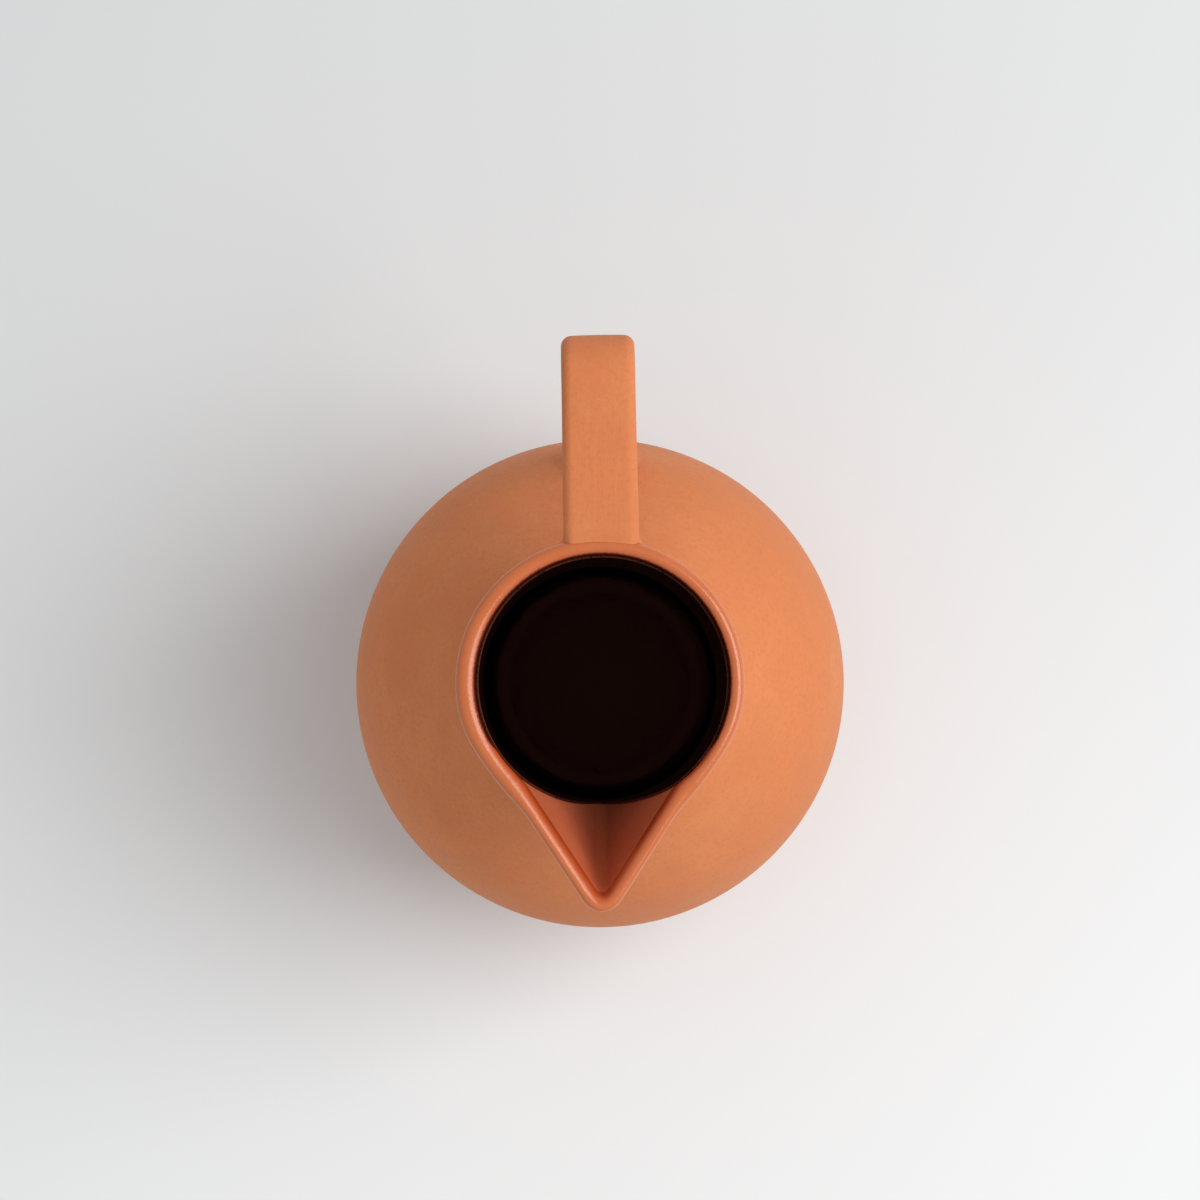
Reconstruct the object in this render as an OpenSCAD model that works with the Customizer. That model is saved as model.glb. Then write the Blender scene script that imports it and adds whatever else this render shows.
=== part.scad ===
// Earthenware pitcher: round belly, straight neck, folded V spout, flat strap handle.
// The origin is the centre of the base. +Z is up, the spout points to -Y and the handle to +Y.

/* [Body] */
// Height of the rim above the table
jug_h = 240; // [200:1:290]
// Radius at the widest line of the belly
belly_r = 80; // [66:1:96]
// Height of the widest line
belly_z = 75; // [66:1:90]
// Radius of the upper belly's curve in profile
belly_curve_r = 80; // [60:1:90]
// Thickness of the belly and shoulder wall
body_wall = 5.6; // [5:0.1:7]

/* [Foot and floor] */
// Outer radius of the foot ring
foot_r = 46; // [38:1:54]
// Height of the foot ring at its outer edge
foot_h = 9.5; // [8:0.5:12]
// Width of the foot ring
foot_w = 8; // [6:0.5:10]
// Height of the hollow under the floor
foot_recess = 5; // [3:0.5:6]
// Rounding of the foot ring's lower edges
foot_edge_r = 1.5; // [0.8:0.1:2]
// Thickness of the floor
floor_t = 7; // [5:0.5:9]
// Radius of the cove between the floor and the wall
cove_r = 28; // [20:1:34]

/* [Neck] */
// Outer radius of the neck
neck_r = 42.1; // [36:0.5:48]
// Height at which the shoulder meets the neck
neck_z = 154; // [146:1:170]
// Thickness of the neck wall
neck_wall = 5.3; // [4.4:0.1:6]
// Radius of the fillet at the neck's root
neck_fillet_r = 10; // [6:0.5:14]

/* [Lip] */
// Height of the rounded lip coil
lip_h = 5; // [4:0.5:8]

/* [Spout] */
// How far the spout's tip stands out past the neck
spout_proud = 25.1; // [20:0.1:30]
// Angle between the spout's centre line and each of its edges, seen from above
spout_half_angle = 33; // [29:1:36]
// Height of the spout's lowest point above the neck's root
spout_root_gap = 21; // [12:1:30]
// Thickness of the spout slab
spout_wall_t = 4.2; // [3.4:0.1:5]
// Outer radius of the fold at the tip
spout_fold_r = 7; // [6:0.5:9]
// How far the slip is squeezed out beside the spout
spout_squeeze = 1.5; // [0.8:0.1:2.5]

/* [Handle] */
// Width of the strap
strap_w = 21.8; // [16:0.5:26]
// Thickness of the strap
strap_t = 8; // [6:0.5:10]
// Radius of the strap's edges
strap_edge_r = 3; // [1:0.5:3]
// How far the strap's outer face stands out past the widest line
strap_proud = 22.3; // [18:0.1:28]
// Outer radius of the strap's bend
strap_bend_r = 13; // [11:1:18]
// Slant of the strap's drop, from upright towards the body
strap_slant = 12; // [8:1:14]
// Turn of the strap away from the jug's centre plane
strap_skew = 1.1; // [0:0.1:2]
// Sideways shift of the strap's root
strap_shift = 1.2; // [0:0.1:2]
// Radius of the slip fillets beside the strap's root
strap_fillet_r = 4; // [2:0.5:5]
// Height of the slip pad round the strap's foot
pad_h = 4; // [2:0.5:5]
// How far the slip pad spreads round the strap
pad_w = 3; // [2:0.5:4]

/* [Slip and glaze] */
// Thickness of the slip layer in a luted joint
slip_t = 0.6; // [0.4:0.1:1]
// Depth of the tongue and groove at the widest line
groove_h = 2; // [1:0.5:3]
// Drop of the tongue and groove below the widest line
seam_drop = 4; // [2:1:8]
// Thickness of the interior glaze
glaze_t = 0.6; // [0.4:0.1:0.8]
// Distance from the rim down to the glaze's upper edge
glaze_drop = 3.4; // [3:0.2:5]

/* [Hidden] */
$fn = 96;
hull_fn = 32;
// Greatest turn between two points of a profile's arc, in degrees
arc_step = 3;
// Overshoot of a cutting solid past the face that it cuts
over = 1;
clay = "#D9824F";
clay_pale = "#DE8F63";
slip_tone = "#CF7648";
glaze_tone = "#1A0806";

// Profile of the bowl: an arc through the foot's upper corner, upright at the widest line
seam_z = belly_z - seam_drop;
bowl_rise = belly_z - foot_h;
bowl_cr = (belly_r * belly_r - foot_r * foot_r - bowl_rise * bowl_rise) / (2 * (belly_r - foot_r));
bowl_arc_r = belly_r - bowl_cr;
// Floor's top, which rises with a bowl too shallow to come down to it
cove_bite = 0.5;
floor_z = max(foot_recess + floor_t, belly_z - bowl_arc_r + body_wall + cove_bite);
// Centre of the cove, which touches the floor and the inner wall
cove_cz = floor_z + cove_r;
cove_gap = bowl_arc_r - body_wall - cove_r;
cove_cr = bowl_cr + sqrt(cove_gap * cove_gap - (belly_z - cove_cz) * (belly_z - cove_cz));
cove_ang = atan2(cove_cz - belly_z, cove_cr - bowl_cr);

// Profile of the shoulder: a straight line from the neck's root, tangent to the belly's curve
shoulder_cr = belly_r - belly_curve_r;
root_dr = neck_r - shoulder_cr;
root_dz = neck_z - belly_z;
root_d = sqrt(root_dr * root_dr + root_dz * root_dz);
shoulder_ang = atan2(root_dz, root_dr) - acos(belly_curve_r / root_d);

// Spout: both faces run parallel to the crease, which leans out by spout_lean
spout_reach = neck_r + spout_proud;
spout_drop = jug_h - neck_z - spout_root_gap;
spout_lean = atan2(spout_proud, spout_drop);
fold_half = atan2(tan(spout_half_angle), cos(spout_lean));
fold_steps = 12;
// Distance from the rounded tip out to where the two faces would meet
fold_lack = spout_fold_r * (1 / sin(fold_half) - 1) / cos(spout_lean);
// Length of a face from the tip back to the point nearest to the axis
fold_run = (spout_reach + fold_lack) * cos(spout_half_angle);
spout_len = spout_drop / cos(spout_lean) + neck_wall;
// Steps in the arc of a slip fillet
fillet_steps = 8;

lip_r = neck_wall / 2;
lip_steps = 16;
lip_crown = [for (i = [0:lip_steps]) let (a = 180 * i / lip_steps)
             [neck_r - lip_r + lip_r * cos(a), jug_h - lip_r + lip_r * sin(a)]];
neck_in_r = neck_r - neck_wall;

// Strap: centre of its bend, and the length of its slanted drop
strap_reach = belly_r + strap_proud;
bend_y = strap_reach - strap_bend_r;
bend_z = jug_h - strap_bend_r;
drop_len = bend_z - belly_z;
// Depth of the crease left above and below the slip at the strap's root
root_crease = 1;
// Steps in each rounded edge of the strap, and in its bend
edge_steps = 5;
bend_steps = 12;

// Profiles in the plane of radius and height. Each inset draws a profile in from the outside.

// Points along an arc, from one angle to another, in steps of about arc_step
function arc(centre, r, from, to) =
    let (n = max(1, ceil(abs(to - from) / arc_step)))
    [for (i = [0:n]) let (a = from + (to - from) * i / n) centre + r * [cos(a), sin(a)]];

// Angle on the bowl's arc at a height at or below the widest line
function bowl_ang(z, inset) = asin((z - belly_z) / (bowl_arc_r - inset));

// Bowl from one height up to another
function bowl_curve(inset, low, high) =
    arc([bowl_cr, belly_z], bowl_arc_r - inset, bowl_ang(low, inset), bowl_ang(high, inset));

// Height at which the shoulder's line reaches a radius
function shoulder_z(inset, r) =
    (shoulder_cr * cos(shoulder_ang) + belly_z * sin(shoulder_ang) + belly_curve_r - inset
     - r * cos(shoulder_ang)) / sin(shoulder_ang);

// Shoulder from just above the widest line up to the given radius on its slanted line
function shoulder_curve(inset, tube_r) =
    concat(arc([shoulder_cr, belly_z], belly_curve_r - inset, arc_step, shoulder_ang),
           [[tube_r, shoulder_z(inset, tube_r)]]);

// Hollow's wall from the floor up to a height at or below the widest line
function hollow_low(inset, high) =
    concat(arc([cove_cr, cove_cz], cove_r - inset, -90, cove_ang),
           arc([bowl_cr, belly_z], bowl_arc_r - body_wall - inset, cove_ang + arc_step,
               bowl_ang(high, body_wall + inset)));

// Hollow's wall from just above the widest line to the neck's root
function hollow_high(inset) = shoulder_curve(body_wall + inset, neck_in_r - inset);

// Whole of the hollow's wall from the floor to the neck's root, with a point at each joint it crosses
function hollow_wall(inset) =
    concat(hollow_low(inset, seam_z - slip_t),
           tail(bowl_curve(body_wall + inset, seam_z - slip_t, seam_z)),
           tail(bowl_curve(body_wall + inset, seam_z, belly_z)), hollow_high(inset));

function reversed(points) = [for (i = [len(points) - 1:-1:0]) points[i]];

// All the points but the first
function tail(points) = [for (i = [1:len(points) - 1]) points[i]];

// Bottom of the groove, or of what lies on it, at the middle of the wall
function groove_point(z) = [belly_r - body_wall / 2, z - groove_h];

// Whole body, solid and grown by grow, as a cutter for what seats on it
module body_solid(grow) {
    neck = neck_r + grow;
    rotate_extrude()
        polygon(concat([[0, foot_h], [foot_r, foot_h]], bowl_curve(-grow, foot_h + over, belly_z),
                       shoulder_curve(-grow, neck), [[neck, jug_h + over], [0, jug_h + over]]));
}

// Spout section across its crease: the tip is at the origin and the edges open towards +Y
module fold_section(inset) {
    fold_r = spout_fold_r - inset;
    half_turn = 90 - fold_half;
    run = fold_run - spout_fold_r;
    end_x = fold_r * cos(fold_half) + run * sin(fold_half);
    end_y = spout_fold_r - fold_r * sin(fold_half) + run * cos(fold_half);
    fold = [for (i = [0:fold_steps]) let (a = -half_turn + 2 * half_turn * i / fold_steps)
            [fold_r * sin(a), spout_fold_r - fold_r * cos(a)]];
    polygon(concat([[-end_x, end_y]], fold, [[end_x, end_y]]));
}

// Bar with the spout's section, which runs down along the crease
module spout_bar(inset) {
    translate([0, -spout_reach, jug_h])
        rotate([spout_lean, 0, 0])
            translate([0, 0, -spout_len])
                linear_extrude(height = spout_len + 2 * spout_drop) fold_section(inset);
}

// Slab of space between two heights
module level_slab(low, high) {
    translate([-belly_r * 2, -belly_r * 2, low]) cube([belly_r * 4, belly_r * 4, high - low]);
}

// Spout slab between two heights, outside the given radius
module spout_shell(low, high, clear_r) {
    intersection() {
        difference() {
            spout_bar(0);
            spout_bar(spout_wall_t);
            translate([0, 0, low - over]) cylinder(r = clear_r, h = high - low + 2 * over);
        }
        translate([0, -spout_reach, 0]) level_slab(low, high);
    }
}

// Rounded rectangle of the strap's section: x across, y = 0 on its outer face
function strap_section(grow) =
    let (half = strap_w / 2 + grow, edge = strap_edge_r + grow, deep = strap_t + 2 * grow,
         corners = [[half - edge, grow - edge, 0], [edge - half, grow - edge, 90],
                    [edge - half, grow - deep + edge, 180], [half - edge, grow - deep + edge, 270]])
    [for (c = corners, i = [0:edge_steps]) let (a = c[2] + 90 * i / edge_steps)
        [c[0] + edge * cos(a), c[1] + edge * sin(a)]];

// Section turned to stand across the strap's run: spine is a point on the outer face, and turn is
// how far the run has bent down from level
function strap_ring(grow, spine, turn) =
    [for (q = strap_section(grow))
        [q[0], spine[0] + q[1] * sin(turn), spine[1] + q[1] * cos(turn)]];

// Points of the outer face along the run, each with its turn
function strap_spine() =
    concat([[neck_in_r, jug_h, 0]],
           [for (i = [0:bend_steps]) let (a = (90 + strap_slant) * i / bend_steps)
               [bend_y + strap_bend_r * sin(a), bend_z + strap_bend_r * cos(a), a]],
           [[bend_y + strap_bend_r * cos(strap_slant) - drop_len * sin(strap_slant),
             bend_z - strap_bend_r * sin(strap_slant) - drop_len * cos(strap_slant), 90 + strap_slant]]);

// Strap along its whole run, from inside the neck's wall to inside the body
module strap_sweep(grow) {
    spine = strap_spine();
    n = len(strap_section(grow));
    last = len(spine) - 1;
    points = [for (k = spine) each strap_ring(grow, [k[0], k[1]], k[2])];
    sides = [for (k = [0:last - 1], i = [0:n - 1]) let (j = (i + 1) % n, a = k * n)
             [a + i, a + j, a + n + j, a + n + i]];
    ends = [[for (i = [n - 1:-1:0]) i], [for (i = [0:n - 1]) last * n + i]];
    polyhedron(points = points, faces = concat(sides, ends));
}

// Places what belongs to the handle, turned and shifted off the centre plane
module at_handle() {
    rotate([0, 0, strap_skew]) translate([strap_shift, 0, 0]) children();
}

// Pieces

// Turned ring that the jug stands on
module foot_ring() {
    color(clay) rotate_extrude() {
        inner_r = foot_r - foot_w;
        translate([inner_r, foot_edge_r]) square([foot_w, foot_h - foot_edge_r]);
        translate([inner_r + foot_edge_r, 0]) square([foot_w - 2 * foot_edge_r, foot_h]);
        for (r = [inner_r + foot_edge_r, foot_r - foot_edge_r])
            translate([r, foot_edge_r]) circle(r = foot_edge_r, $fn = hull_fn);
    }
}

// Floor disc inside the foot ring
module base_floor() {
    color(clay_pale) translate([0, 0, foot_recess]) cylinder(r = cove_cr, h = floor_z - foot_recess);
}

// Lower thrown wall, from the foot to the groove below the widest line
module bowl_wall() {
    top = seam_z - slip_t;
    color(clay) rotate_extrude()
        polygon(concat([[cove_cr, foot_recess], [foot_r - foot_w, foot_recess], [foot_r - foot_w, foot_h]],
                       bowl_curve(0, foot_h, top), [groove_point(top)], reversed(hollow_low(0, top))));
}

// Slip in the tongue and groove
module belly_joint() {
    low = seam_z - slip_t;
    color(slip_tone) rotate_extrude()
        polygon(concat(bowl_curve(0, low, seam_z), [groove_point(seam_z)],
                       reversed(bowl_curve(body_wall, low, seam_z)), [groove_point(low)]));
}

// Upper thrown wall, from its tongue to the neck's root
module shoulder_wall() {
    color(clay) rotate_extrude()
        polygon(concat(bowl_curve(0, seam_z, belly_z), shoulder_curve(0, neck_r), [[neck_in_r, neck_z]],
                       reversed(hollow_high(0)), reversed(bowl_curve(body_wall, seam_z, belly_z)),
                       [groove_point(seam_z)]));
}

// Slip layer under the neck and the fillet round its root
module neck_joint() {
    // The fillet touches the upright neck and the slanted shoulder line
    centre = [neck_r + neck_fillet_r, neck_z + neck_fillet_r * tan(shoulder_ang / 2)];
    color(slip_tone) rotate_extrude()
        polygon(concat([[neck_in_r, neck_z], [neck_r, neck_z]],
                       arc(centre, neck_fillet_r, 180 + shoulder_ang, 180),
                       [[neck_r, neck_z + slip_t], [neck_in_r, neck_z + slip_t]]));
}

// Neck tube, notched where the spout opens
module neck_collar() {
    low = neck_z + slip_t;
    color(clay) difference() {
        translate([0, 0, low]) cylinder(r = neck_r, h = jug_h - lip_h - low);
        translate([0, 0, low - over]) cylinder(r = neck_in_r, h = jug_h);
        spout_bar(spout_wall_t);
    }
}

// Folded slab that makes the V spout
module spout_wall() {
    color(clay) spout_shell(jug_h - spout_drop, jug_h - lip_h, neck_r + slip_t);
}

// Slip layer between the spout's edges and the neck, squeezed out along the outside
module spout_joint() {
    low = jug_h - spout_drop;
    high = jug_h - lip_h;
    color(slip_tone) intersection() {
        difference() {
            spout_bar(-spout_squeeze);
            spout_bar(spout_wall_t);
            translate([0, 0, low - over]) cylinder(r = neck_r, h = high - low + 2 * over);
        }
        translate([0, 0, low]) cylinder(r = neck_r + slip_t, h = high - low);
        translate([0, -spout_reach, 0]) level_slab(low, high);
    }
}

// Rounded lip round the mouth and along the spout
module rim_lip() {
    low = jug_h - lip_h;
    color(clay_pale) {
        difference() {
            rotate_extrude() polygon(concat([[neck_in_r, low], [neck_r, low]], lip_crown));
            spout_bar(spout_wall_t);
        }
        spout_shell(low, jug_h, neck_in_r);
    }
}

// Flat strap: level run, bend and slanted drop onto the body
module handle_strap() {
    color(clay) at_handle() difference() {
        strap_sweep(0);
        translate([-strap_shift, 0, 0]) body_solid(0);
    }
}

// Slip fillets beside the strap's root
module handle_upper_joint() {
    f = strap_fillet_r;
    for (side = [1, -1]) {
        side_x = strap_w / 2 + side * strap_shift;
        corner_a = asin(side_x / neck_r);
        centre_a = asin((side_x + f) / (neck_r + f));
        centre = (neck_r + f) * [sin(centre_a), cos(centre_a)];
        wedge = concat(
            [for (i = [0:fillet_steps]) let (a = corner_a + (centre_a - corner_a) * i / fillet_steps)
                neck_r * [sin(a), cos(a)]],
            [for (i = [1:fillet_steps]) let (a = centre_a + (90 - centre_a) * i / fillet_steps)
                centre - f * [sin(a), cos(a)]],
            [[side_x - strap_edge_r, centre[1]], [side_x - strap_edge_r, neck_r * cos(corner_a)]]);
        color(slip_tone) rotate([0, 0, strap_skew]) difference() {
            translate([0, 0, jug_h - strap_t + root_crease])
                linear_extrude(height = strap_t - 2 * root_crease)
                    scale([side, 1]) polygon(wedge);
            translate([strap_shift, 0, 0]) strap_sweep(0);
            cylinder(r = neck_r, h = jug_h);
        }
    }
}

// Slip pad round the strap's foot, which follows the body's surface
module handle_lower_joint() {
    color(slip_tone) at_handle() difference() {
        intersection() {
            translate([-strap_shift, 0, 0]) body_solid(pad_h);
            translate([-strap_w, 0, 0]) cube([2 * strap_w, strap_reach, neck_z]);
            strap_sweep(pad_w);
        }
        translate([-strap_shift, 0, 0]) body_solid(0);
        strap_sweep(0);
    }
}

// Glaze that lines the hollow up to just under the lip
module interior_glaze() {
    top = jug_h - glaze_drop;
    color(glaze_tone) difference() {
        rotate_extrude()
            polygon(concat([[0, floor_z]], hollow_wall(0), [[neck_in_r, top]],
                           [[neck_in_r - glaze_t, top]], reversed(hollow_wall(glaze_t)),
                           [[0, floor_z + glaze_t]]));
        spout_bar(spout_wall_t);
    }
}

foot_ring();
base_floor();
bowl_wall();
belly_joint();
shoulder_wall();
neck_joint();
neck_collar();
spout_wall();
spout_joint();
rim_lip();
handle_strap();
handle_upper_joint();
handle_lower_joint();
interior_glaze();
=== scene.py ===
"""Earthenware pitcher with a folded V spout, a flat strap handle and a dark glaze inside.

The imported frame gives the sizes. +Z is up, the spout points to -Y and the handle to +Y.
"""

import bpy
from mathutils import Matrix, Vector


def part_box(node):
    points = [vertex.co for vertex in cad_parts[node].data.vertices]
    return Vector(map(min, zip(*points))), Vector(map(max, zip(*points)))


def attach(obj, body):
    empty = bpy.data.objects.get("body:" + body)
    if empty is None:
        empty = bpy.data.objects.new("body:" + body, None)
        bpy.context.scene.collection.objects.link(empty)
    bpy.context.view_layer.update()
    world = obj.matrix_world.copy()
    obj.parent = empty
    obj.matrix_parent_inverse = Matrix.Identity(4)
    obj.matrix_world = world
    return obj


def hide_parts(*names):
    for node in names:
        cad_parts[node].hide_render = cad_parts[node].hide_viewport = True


bl_info = {
    "name": "Earthenware Pitcher",
    "version": (1, 0, 0),
    "blender": (4, 5, 0),
    "location": "3D View > Sidebar > Pitcher",
    "description": "Builds the finished pieces of an earthenware pitcher round its frame",
    "category": "Object",
}

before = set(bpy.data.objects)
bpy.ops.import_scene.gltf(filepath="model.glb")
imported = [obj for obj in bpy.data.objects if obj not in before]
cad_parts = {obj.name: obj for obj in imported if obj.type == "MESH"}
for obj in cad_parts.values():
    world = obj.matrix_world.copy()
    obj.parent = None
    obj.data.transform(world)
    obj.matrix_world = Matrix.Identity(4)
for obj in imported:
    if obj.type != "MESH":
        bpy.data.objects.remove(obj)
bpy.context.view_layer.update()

import math
from types import SimpleNamespace

import bmesh
import bpy
import numpy as np
from bpy.props import FloatProperty, FloatVectorProperty, IntProperty, PointerProperty
from mathutils import Vector

BOX = {node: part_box(node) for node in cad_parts}
LOW = {node: corners[0] for node, corners in BOX.items()}
HIGH = {node: corners[1] for node, corners in BOX.items()}
BODY = "root"

# Greatest turn between two points of a profile's arc, in degrees
ARC_STEP = 1.5
# Edges that turn more than this are shaded sharp
SHARP_ANGLE = math.radians(38)
# Points closer than this are one point
WELD = 2e-6
# Step over which a skin's slope is measured
SLOPE_STEP = 2e-5


# ---------------------------------------------------------------- sizes and colours


def length(name, description, default, low, high):
    return FloatProperty(name=name, description=description, default=default, min=low, max=high,
                         subtype="DISTANCE", unit="LENGTH", precision=4)


def angle(name, description, default, low, high):
    return FloatProperty(name=name, description=description, default=math.radians(default),
                         min=math.radians(low), max=math.radians(high), subtype="ANGLE",
                         unit="ROTATION")


def share(name, description, default, high=1.0):
    return FloatProperty(name=name, description=description, default=default, min=0.0, max=high)


def colour(name, description, default):
    return FloatVectorProperty(name=name, description=description, default=default, size=3,
                               min=0.0, max=1.0, subtype="COLOR")


class JugSizes(bpy.types.PropertyGroup):
    """Sizes that the frame's boxes don't give"""

    belly_z: length("Widest line", "Height of the belly's widest line", 0.075, 0.05, 0.12)
    belly_curve_r: length("Belly curve", "Radius of the upper belly in profile", 0.080, 0.05, 0.1)
    cove_r: length("Cove", "Radius of the cove between the floor and the wall", 0.028, 0.01, 0.04)
    foot_w: length("Foot width", "Width of the foot ring", 0.008, 0.004, 0.012)
    foot_edge_r: length("Foot edge", "Rounding of the foot ring's edges", 0.0015, 0.0005, 0.003)
    groove_h: length("Groove", "Depth of the tongue and groove", 0.002, 0.001, 0.004)
    neck_wall: length("Neck wall", "Thickness of the neck's wall", 0.0053, 0.003, 0.008)
    neck_fillet_r: length("Neck fillet", "Radius of the slip at the neck's root", 0.010, 0.004,
                          0.02)
    glaze_t: length("Glaze", "Thickness of the glaze", 0.0006, 0.0002, 0.001)
    lip_round: length("Lip rounding", "Height of the lip's rounded top", 0.0026, 0.001, 0.003)
    spout_half_angle: angle("Spout angle", "Angle between the spout's centre and a side", 33, 25,
                            40)
    spout_root_gap: length("Spout root", "Height of the spout's root above the shoulder", 0.021,
                           0.01, 0.04)
    spout_wall: length("Spout wall", "Thickness of the spout's sides", 0.0044, 0.003, 0.006)
    spout_fold_r: length("Spout fold", "Outer radius of the fold at the tip", 0.0067, 0.005, 0.01)
    spout_turn: angle("Spout turn", "Turn of the spout off the centre plane", -0.6, -3, 3)
    spout_blend: length("Spout blend", "Softness of the bend between spout and neck", 0.0034, 0,
                        0.01)
    spout_pinch: length("Spout pinch", "How far the neck is drawn in beside the spout", 0.0010,
                        0, 0.003)
    mouth_shift_x: length("Mouth shift X", "How far the mouth sits off the axis to the right",
                          0.0008, -0.002, 0.002)
    mouth_shift_y: length("Mouth shift Y", "How far the mouth sits off the axis to the handle",
                          0.0004, -0.002, 0.002)
    joint_half_angle: angle("Joint width", "Half width of the slip beside the spout", 2, 0.5, 4)
    strap_w: length("Strap width", "Width of the strap", 0.0216, 0.01, 0.03)
    strap_t: length("Strap thickness", "Thickness of the strap", 0.008, 0.004, 0.012)
    strap_edge_r: length("Strap edge", "Radius of the strap's edges", 0.003, 0.001, 0.004)
    strap_bend_r: length("Strap bend", "Outer radius of the strap's bend", 0.013, 0.01, 0.02)
    strap_slant: angle("Strap slant", "Slant of the strap's drop", 12, 4, 16)
    strap_skew: angle("Strap skew", "Turn of the strap off the centre plane", 1.1, -3, 3)
    strap_shift: length("Strap shift", "Sideways shift of the strap's root", 0.0012, -0.003, 0.003)
    root_flare: share("Root flare", "Widening of the strap at its root", 0.025, 0.1)
    root_dip: length("Root dip", "Depth of the crease where the strap meets the lip", 0.0005, 0,
                     0.001)
    root_slip: length("Root slip", "Size of the slip round the strap's root", 0.0030, 0.001, 0.005)
    foot_slip: length("Foot slip", "Size of the slip round the strap's foot", 0.0040, 0.001, 0.006)
    segments: IntProperty(name="Segments", description="Faces round a turned wall", default=288,
                          min=48, max=720)


class JugColours(bpy.types.PropertyGroup):
    """Colours and surface of the clay and the glaze"""

    clay: colour("Clay", "Main colour of the fired clay", (0.672, 0.216, 0.079))
    clay_pale: colour("Pale clay", "Lighter clouds in the clay", (0.720, 0.262, 0.102))
    clay_deep: colour("Deep clay", "Darker clouds in the clay", (0.590, 0.182, 0.060))
    glaze: colour("Glaze", "Colour of the glaze", (0.0055, 0.0007, 0.0006))
    glaze_break: colour("Glaze edge", "Colour where the glaze thins out", (0.085, 0.021, 0.009))
    grain: share("Grain", "Strength of the clay's fine grain", 0.5)
    stage: colour("Stage", "Colour of the floor", (0.785, 0.800, 0.806))


class StageSizes(bpy.types.PropertyGroup):
    """Camera, floor and lights"""

    camera_height: length("Camera height", "Height of the camera above the floor", 1.5, 0.5, 4)
    aim_shift: length("Aim", "How far the camera looks towards the handle", 0.0273, -0.1, 0.1)
    focal: FloatProperty(name="Focal length", description="Lens in millimetres", default=130.14,
                         min=20, max=300)
    key_turn: angle("Key turn", "Direction of the key light", 8, -180, 180)
    key_rise: angle("Key rise", "Height of the key light above the floor", 54, 5, 90)
    key_size: length("Key size", "Side of the key light", 1.3, 0.1, 4)
    key_reach: length("Key distance", "Distance of the key light", 1.9, 0.5, 5)
    key_power: FloatProperty(name="Key power", description="Watts of the key light", default=25.5,
                             min=0, max=500)
    sky: FloatProperty(name="Sky", description="Strength of the even light", default=0.53, min=0,
                       max=3)


# ---------------------------------------------------------------- the jug's form


def jug_form():
    """Sizes from the frame and the panel, with what follows from them, in metres."""
    f = SimpleNamespace()
    sizes = bpy.context.scene.jug_sizes
    for key in JugSizes.__annotations__:
        setattr(f, key, getattr(sizes, key))
    f.top = HIGH["rim_lip"].z
    f.lip_low = LOW["rim_lip"].z
    f.neck_r = HIGH["neck_collar"].x
    f.neck_low = LOW["neck_collar"].z
    f.neck_z = HIGH["shoulder_wall"].z
    f.belly_r = HIGH["shoulder_wall"].x
    f.seam_low = HIGH["bowl_wall"].z
    f.seam_z = HIGH["belly_joint"].z
    f.foot_r = HIGH["foot_ring"].x
    f.foot_h = HIGH["foot_ring"].z
    f.recess = LOW["base_floor"].z
    f.floor_z = HIGH["base_floor"].z
    f.floor_r = HIGH["base_floor"].x
    f.body_wall = f.belly_r - HIGH["interior_glaze"].x
    f.glaze_top = HIGH["interior_glaze"].z
    f.spout_reach = -LOW["rim_lip"].y
    f.spout_root = f.neck_z + f.spout_root_gap
    # The strap's outer corner is farther out than its middle because the strap is skewed
    f.strap_reach = HIGH["handle_strap"].y - math.sin(f.strap_skew) * (
        f.strap_w / 2 - f.strap_edge_r + f.strap_shift)
    f.neck_in_r = f.neck_r - f.neck_wall
    # Lower curve: an arc through the foot's upper corner, upright at the widest line
    rise = f.belly_z - f.foot_h
    f.bowl_cr = (f.belly_r**2 - f.foot_r**2 - rise**2) / (2 * (f.belly_r - f.foot_r))
    f.bowl_arc_r = f.belly_r - f.bowl_cr
    f.cove_z = f.floor_z + f.cove_r
    f.cove_angle = math.atan2(f.cove_z - f.belly_z, f.floor_r - f.bowl_cr)
    # Shoulder: a straight line from the neck's root, tangent to the upper curve
    f.shoulder_cr = f.belly_r - f.belly_curve_r
    across, up = f.neck_r - f.shoulder_cr, f.neck_z - f.belly_z
    f.shoulder_angle = math.atan2(up, across) - math.acos(f.belly_curve_r / math.hypot(across, up))
    # Spout: its sides run parallel to the crease, which leans out as it rises
    f.spout_lean = (f.spout_reach - f.neck_r) / (f.top - f.spout_root)
    return f


def arc(centre, radius, start, end):
    """Points along an arc in the plane of radius and height. Angles are in radians."""
    count = max(1, math.ceil(math.degrees(abs(end - start)) / ARC_STEP))
    turns = np.linspace(start, end, count + 1)
    return [(centre[0] + radius * math.cos(a), centre[1] + radius * math.sin(a)) for a in turns]


def bowl_angle(f, z, inset):
    return math.asin(max(-1.0, min(1.0, (z - f.belly_z) / (f.bowl_arc_r - inset))))


def bowl_curve(f, inset, low, high):
    return arc((f.bowl_cr, f.belly_z), f.bowl_arc_r - inset, bowl_angle(f, low, inset),
               bowl_angle(f, high, inset))


def shoulder_z(f, inset, radius):
    """Height at which the shoulder's straight line reaches a radius."""
    turn = f.shoulder_angle
    return (f.shoulder_cr * math.cos(turn) + f.belly_z * math.sin(turn) + f.belly_curve_r - inset
            - radius * math.cos(turn)) / math.sin(turn)


def shoulder_curve(f, inset, radius):
    """Shoulder from just above the widest line up to a radius on its straight line."""
    curve = arc((f.shoulder_cr, f.belly_z), f.belly_curve_r - inset, math.radians(ARC_STEP),
                f.shoulder_angle)
    start, end = np.array(curve[-1]), np.array((radius, shoulder_z(f, inset, radius)))
    steps = 12
    return curve + [tuple(start + (end - start) * k / steps) for k in range(1, steps + 1)]


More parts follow.
